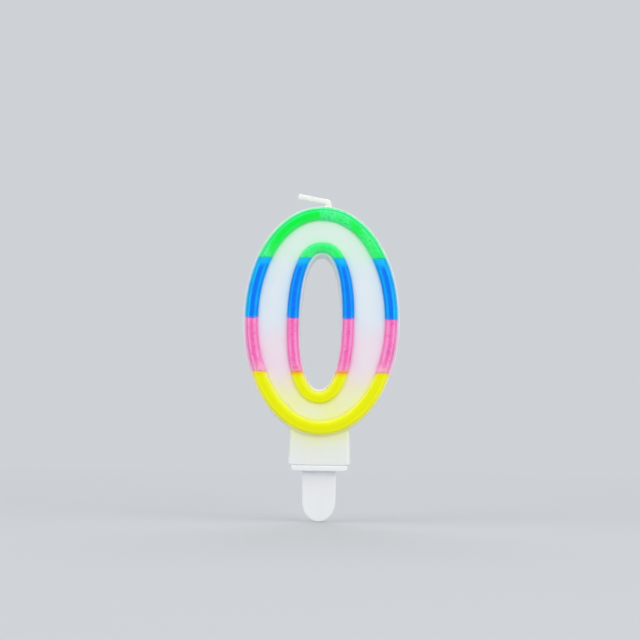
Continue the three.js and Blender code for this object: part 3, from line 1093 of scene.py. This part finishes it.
def bead_distances(x, z, samples=1440):
    """How far each place in the front view is from the edge of the outer and of the inner bead"""
    angle = np.linspace(0, 2 * math.pi, samples, endpoint=False)
    distances = []
    for bead in BEADS:
        tree = KDTree(samples)
        for index, at in enumerate(zip(*bead.line.points(angle))):
            tree.insert((*at, 0), index)
        tree.balance()
        found = [tree.find((a, b, 0)) for a, b in zip(x, z)]
        closest = np.array([index for _, index, _ in found])
        away = np.array([distance for _, _, distance in found])
        distances.append(np.maximum(away - bead.half_width(np.sin(angle[closest])), 0))
    return distances


def make_wax_body(material):
    """The white casting: the digit on its foot, tinted by the dyes that have gone into it and by
    painted glow from the beads, and painted lighter close to them
    """
    points, quads = surface_of(wax_shape, wax_low, wax_high, WAX_CELL)
    piece = make_piece(
        "wax_casting", points, quads.tolist(), material, ["wax_body"], "candle"
    )
    x, y, z = points.T
    distances = [np.hypot(away, STAIN_DEPTH * (y - FRONT_Y)) for away in bead_distances(x, z)]
    cloud = 1 + STAIN_CLOUDING * ripple((x, y, z), STAIN_CLOUD_SIZE, STAIN_SEED)
    keep_colours(piece, stained_and_glowing_wax(z, distances, cloud))


def ring_faces(index):
    """Quads between following rings of points that are numbered [ring, place]"""
    after = np.roll(index, -1, 1)
    quads = np.stack([index[:-1], after[:-1], after[1:], index[1:]], -1)
    return quads.reshape(-1, 4).tolist()


def bead_height(x, z, seed):
    """How far each point of a length of bead stands out from the flat of the front"""
    along = np.hypot(np.diff(x, axis=1), np.diff(z, axis=1)).mean(0)
    run = np.concatenate([[0], np.cumsum(along)])
    seam = SEAM_DEPTH * (1 - smoothstep(0, SEAM_WIDTH, np.minimum(run, run[-1] - run)))
    wave = BEAD_WAVE * (0.5 + 0.5 * ripple((x, z), BEAD_WAVE_SIZE, seed))
    raised = smoothstep(0, BEAD_HEIGHT / 2, BEAD_RISE)
    return BEAD_RISE - raised * (seam + wave) - front_drop(x, z)


def make_bead_length(bead, band, dye, start, end, seed, material):
    """One colour's length of a bead, closed at its two seams and flat behind"""
    span = np.abs(end - start).mean() * max(bead.line.rise, bead.line.half_width)
    share = np.linspace(0, 1, max(8, int(span / BEAD_STEP)) + 1)
    angle = start + (end - start) * share
    x, z = bead.surface(angle)
    height = bead_height(x, z, seed)
    points = np.stack([x, FRONT_Y - height, z], -1).reshape(-1, 3)
    rings = np.arange(angle.size).reshape(angle.shape).T
    faces = ring_faces(rings) + [rings[0].tolist(), rings[-1].tolist()]
    node = f"{bead.ring}_rim_{band}"
    piece = make_piece(f"{node}_wax", points, faces, material, [node], "candle")
    side = np.broadcast_to(BEAD_SIDE, angle.shape)
    frost = bead_frost(x, z, bead, seed) if dye == "green" else 0 * x
    flecks = pink_flecks(x, z, side, seed) if dye == "pink" else FROST_FLECKS * frost
    from_shaded_crease = side - SHADED_CREASE_SIDE if bead.crease_shaded else 1 + 0 * x
    keep_colours(piece, bead_colours(x, z, side, height, bead, seed).reshape(-1, 3))
    keep_amounts(piece, "Frost", frost.ravel())
    keep_amounts(piece, "Flecks", flecks.ravel())
    keep_amounts(piece, "CreaseShade", from_shaded_crease.ravel())


def make_beads(finishes):
    """Both beads in their four colours: arches above and below, a length on each side between"""
    for bead in BEADS:
        right = [seam.angles(bead, right=True) for seam in SEAMS]
        left = [seam.angles(bead, right=False) for seam in SEAMS]
        lengths = (
            ("green", "green", right[0], left[0]),
            ("blue_right", "blue", right[1], right[0]),
            ("pink_right", "pink", right[2], right[1]),
            ("blue_left", "blue", left[0], left[1]),
            ("pink_left", "pink", left[1], left[2]),
            ("yellow", "yellow", left[2], right[2] + 2 * math.pi),
        )
        for order, (band, dye, start, end) in enumerate(lengths):
            make_bead_length(bead, band, dye, start, end, bead.seed + order, finishes[dye])


def wick_path():
    """The wick's middle line and its direction, from its root to its free end"""
    turn = math.pi / 2 - WICK_TIP_RISE
    cut = WICK_BEND_RADIUS * math.tan(turn / 2)
    lengths = [
        WICK_BEND_Z - cut - (DIGIT_TOP_Z - WICK_ROOT),
        WICK_BEND_RADIUS * turn,
        WICK_TIP_LENGTH - cut,
    ]
    run = np.linspace(0, sum(lengths), int(sum(lengths) / WICK_STEP) + 1)
    turned = np.clip((run - lengths[0]) / WICK_BEND_RADIUS, 0, turn)
    direction = np.stack([-np.sin(turned), np.cos(turned)], 1)
    step = (direction[1:] + direction[:-1]) / 2 * np.diff(run)[:, None]
    root = np.array([WICK_X, DIGIT_TOP_Z - WICK_ROOT])
    middle = root + np.concatenate([[[0, 0]], np.cumsum(step, 0)])
    return run, lengths, middle, direction


def peak(run, place, reach):
    """1 at this place along the wick, falling to nothing on both sides over about its reach"""
    return np.exp(-(((run - place) / reach) ** 2))


def wick_section(run, lengths, turn):
    """The wick's radius, and how high its braid lies, lowered along the groove as painted shade, at
    [place along it, turn round it]
    """
    run = run[:, None]
    end = run[-1]
    kink = lengths[0] + lengths[1] / 2
    radius = WICK_RADIUS + KINK_SWELL * peak(run, kink, KINK_SWELL_REACH)
    radius = radius + END_FLARE * smoothstep(end - END_FLARE_LENGTH, end, run)
    radius = radius + BASE_SWELL * peak(run, WICK_ROOT + BASE_SWELL_RISE, BASE_SWELL_REACH)
    in_fold = np.maximum(np.cos(turn), 0) ** 2
    pinch = KINK_PINCH * in_fold * peak(run, kink, KINK_PINCH_REACH)
    fillet = FOLD_FILLET * in_fold * peak(run, lengths[0] - FOLD_FILLET_DROP, FOLD_FILLET_REACH)
    radius = radius * (1 - pinch) + fillet
    lay = 2 * math.pi * run / BRAID_PITCH
    crossing = np.cos(BRAID_STRANDS * turn + lay) * np.cos(BRAID_STRANDS * turn - lay)
    relief = 0.5 + 0.5 * crossing
    clear = smoothstep(WICK_ROOT, WICK_ROOT + BRAID_CLEAR_LENGTH, run)
    depth = BRAID_RELIEF * (BRAID_LEAST_RELIEF + (1 - BRAID_LEAST_RELIEF) * clear)
    groove = np.exp((np.abs(np.sin(turn)) - 1) / GROOVE_SPREAD)
    radius = radius - depth * (1 - relief) - GROOVE_DEPTH * groove
    last = smoothstep(end - END_TAPER_LENGTH, end, run)
    return radius * (1 - END_TAPER * last**2), relief * (1 - GROOVE_SHADE * groove)


def close_end(points, faces, ring, outward):
    """The wick's points and faces with a rough dome added over one of its end rings"""
    rim = points[ring]
    centre = rim.mean(0)
    for share, height in END_DOME:
        loop = centre + (rim - centre) * share
        rough = ripple(loop.T * (share > 0), END_ROUGHNESS_SIZE, END_SEED)
        loop = loop + outward * (height + END_ROUGHNESS * rough[:, None])
        if share > 0:
            fresh = len(points) + np.arange(len(loop))
            faces = faces + ring_faces(np.stack([ring, fresh]))
            ring = fresh
        else:
            loop = loop[:1]
            faces = faces + [[a, b, len(points)] for a, b in zip(ring, np.roll(ring, -1))]
        points = np.concatenate([points, loop])
    return points, faces


def make_wick(material):
    """One braided wick from the wax to its free end, folded over in its mesh and riding no body"""
    run, lengths, middle, direction = wick_path()
    turn = np.linspace(0, 2 * math.pi, WICK_SIDES, endpoint=False)[None, :]
    radius, relief = wick_section(run, lengths, turn)
    normal = np.stack([-direction[:, 1], direction[:, 0]], 1)
    sideways = radius * np.cos(turn)
    x = middle[:, :1] + normal[:, :1] * sideways
    z = middle[:, 1:] + normal[:, 1:] * sideways
    y = WICK_Y + radius * np.sin(turn)
    points = np.stack([x, y, z], -1).reshape(-1, 3)
    rings = np.arange(radius.size).reshape(radius.shape)
    faces = ring_faces(rings)
    for ring, (out_x, out_z) in ((rings[0], -direction[0]), (rings[-1], direction[-1])):
        points, faces = close_end(points, faces, ring, np.array([out_x, 0, out_z]))
    piece = make_piece("waxed_wick", points, faces, material, ["wick_stem", "wick_tip"])
    shown = np.full(len(points), 0.5)
    shown[: relief.size] = relief.ravel()
    keep_amounts(piece, "BraidShade", shown)
    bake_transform(piece)


def make_pick(material):
    """The plastic pick"""
    points, quads = surface_of(pick_shape, pick_low, pick_high, PICK_CELL)
    make_piece("moulded_pick", points, quads.tolist(), material, ["pick"], "pick")


# The studio
FLOOR_Z = pick_low[2] - 0.05
FLOOR_RADIUS = 4000
FLOOR_COLOUR = linear(200, 204, 209)
FLOOR_FADE_START = 80
FLOOR_FADE_END = 450
BACKGROUND = linear(206, 210, 215)
FILL_STRENGTH = 0.45


def make_floor():
    """A wide pale floor that takes a shadow near the candle and runs into the background"""
    bpy.ops.mesh.primitive_circle_add(vertices=96, radius=FLOOR_RADIUS * MM, fill_type="NGON")
    floor = bpy.context.object
    floor.name = "studio_floor"
    floor.location.z = FLOOR_Z * MM
    pale = Finish("studio_floor", Roughness=0.9, Base_Color=colour4(FLOOR_COLOUR))
    away = pale.add("ShaderNodeVectorMath", {0: pale.place}, operation="LENGTH").outputs["Value"]
    fade = pale.ranged(away, (FLOOR_FADE_START * MM, FLOOR_FADE_END * MM), (0.0, 1.0))
    rays = pale.add("ShaderNodeLightPath").outputs
    either = {0: rays["Is Camera Ray"], 1: rays["Is Glossy Ray"]}
    shown = pale.add("ShaderNodeMath", either, operation="MAXIMUM")
    glow = pale.add("ShaderNodeEmission", {"Color": colour4(BACKGROUND), "Strength": 1.0})
    both = pale.add("ShaderNodeMixShader", {0: pale.times(fade, shown.outputs[0])})
    pale.join(pale.shader.outputs[0], both.inputs[1])
    pale.join(glow.outputs[0], both.inputs[2])
    pale.join(both.outputs[0], pale.nodes["Material Output"].inputs["Surface"])
    floor.data.materials.append(pale.material)


def make_world():
    """An even, plain fill light; the camera and reflections see a pale background"""
    world = bpy.data.worlds.new("studio")
    bpy.context.scene.world = world
    world.use_nodes = True
    nodes, links = world.node_tree.nodes, world.node_tree.links
    nodes.clear()
    rays = nodes.new("ShaderNodeLightPath")
    shown = rays.outputs["Is Camera Ray"]
    for ray in ("Is Glossy Ray", "Is Transmission Ray"):
        either = nodes.new("ShaderNodeMath")
        either.operation = "MAXIMUM"
        links.new(shown, either.inputs[0])
        links.new(rays.outputs[ray], either.inputs[1])
        shown = either.outputs[0]
    both = nodes.new("ShaderNodeMixShader")
    links.new(shown, both.inputs[0])
    for index, (colour, strength) in enumerate((((1, 1, 1), FILL_STRENGTH), (BACKGROUND, 1.0))):
        shade = nodes.new("ShaderNodeBackground")
        shade.inputs["Color"].default_value = colour4(colour)
        shade.inputs["Strength"].default_value = strength
        links.new(shade.outputs[0], both.inputs[index + 1])
    output = nodes.new("ShaderNodeOutputWorld")
    links.new(both.outputs[0], output.inputs["Surface"])


# What the camera and the lamps are aimed at
AIM = Vector((-0.42, 0.0, 43.53)) * MM


def add_softbox(name, place, width, height, power):
    """A soft rectangular lamp aimed at the candle"""
    data = bpy.data.lights.new(name, "AREA")
    data.shape = "RECTANGLE"
    data.size, data.size_y = width * MM, height * MM
    data.energy = power
    lamp = bpy.data.objects.new(name, data)
    bpy.context.scene.collection.objects.link(lamp)
    lamp.location = Vector(place) * MM
    lamp.rotation_euler = (AIM - lamp.location).to_track_quat("-Z", "Y").to_euler()


def add_lights():
    """A large lamp on each side, a narrow one for the line of light, and front, top and back ones"""
    for side in (-1, 1):
        add_softbox(f"softbox_{side}", (side * 470, -280, 300), width=520, height=680, power=1.25)
    add_softbox("strip_right", (260, -600, 90), width=40, height=520, power=0.55)
    add_softbox("softbox_front", (0, -620, 230), width=640, height=300, power=0.6)
    add_softbox("softbox_top", (0, -80, 620), width=600, height=400, power=0.6)
    add_softbox("softbox_back", (0, 520, 380), width=600, height=300, power=1.1)


# The camera: the photograph's distance, height and slight tilt
CAMERA_DISTANCE = 450
CAMERA_ELEVATION = math.radians(-3.5)
CAMERA_ROLL = math.radians(0.88)
SENSOR_WIDTH = 36.0
CAMERA_LENS = 87.3
CLIP_START = 10
CLIP_END = 20000


def add_camera():
    """The camera, which looks at the front of the candle"""
    data = bpy.data.cameras.new("camera")
    data.sensor_width = SENSOR_WIDTH
    data.lens = CAMERA_LENS
    data.clip_start, data.clip_end = CLIP_START * MM, CLIP_END * MM
    camera = bpy.data.objects.new("camera", data)
    bpy.context.scene.collection.objects.link(camera)
    back = Vector((0, -math.cos(CAMERA_ELEVATION), math.sin(CAMERA_ELEVATION)))
    camera.location = AIM + back * CAMERA_DISTANCE * MM
    aimed = (-back).to_track_quat("-Z", "Y") @ Quaternion((0, 0, 1), CAMERA_ROLL)
    camera.rotation_euler = aimed.to_euler()
    bpy.context.scene.camera = camera


make_wax_body(white_wax_finish())
make_beads({dye.name: dyed_wax_finish(dye) for dye in DYES})
make_wick(wick_finish())
make_pick(plastic_finish())
make_floor()
make_world()
add_lights()
add_camera()

bpy.context.scene.view_settings.view_transform = "Standard"
